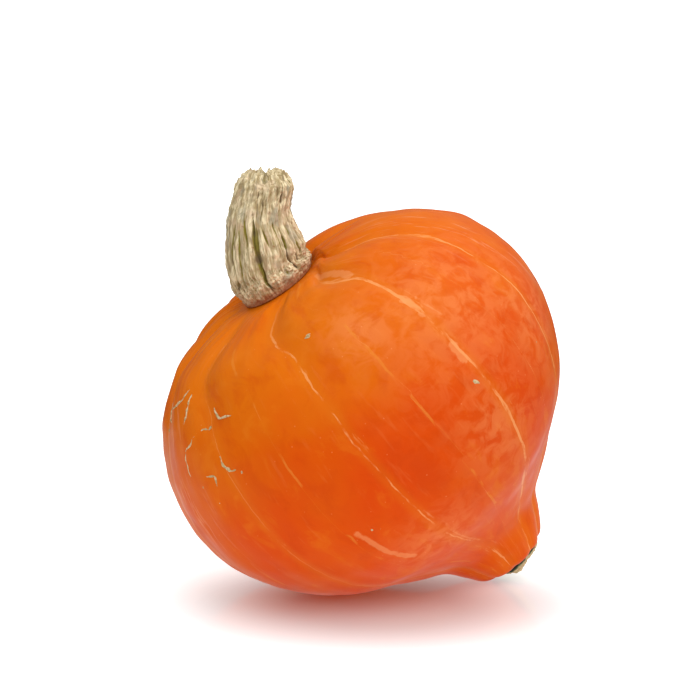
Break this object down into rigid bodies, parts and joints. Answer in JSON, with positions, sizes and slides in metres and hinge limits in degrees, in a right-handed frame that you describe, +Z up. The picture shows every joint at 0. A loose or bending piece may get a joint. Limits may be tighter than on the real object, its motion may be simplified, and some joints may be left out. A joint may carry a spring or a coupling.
{
  "type": "red kuri squash",
  "caption": "Teardrop-shaped orange winter squash with shallow lobes, a pointed blossom end and a thick corky stem, lying on its side.",
  "frame": {"origin": "middle of the small flat spot under the belly, on the surface the squash lies on", "axes": "+Z up; seen from above the fruit's own axis runs along +X, from the stem towards the blossom end"},
  "size_m": [0.1486, 0.163, 0.1577],
  "materials": {
    "rind": "satin waxy orange rind",
    "stem_cork": "matte fissured cork, tan with olive crevices",
    "scar_cork": "matte dry cork with a blackish-green rim"
  },
  "bodies": {
    "root": {"fruit": "rind", "stem": "stem_cork", "blossom_scar": "scar_cork"}
  },
  "joints": []
}
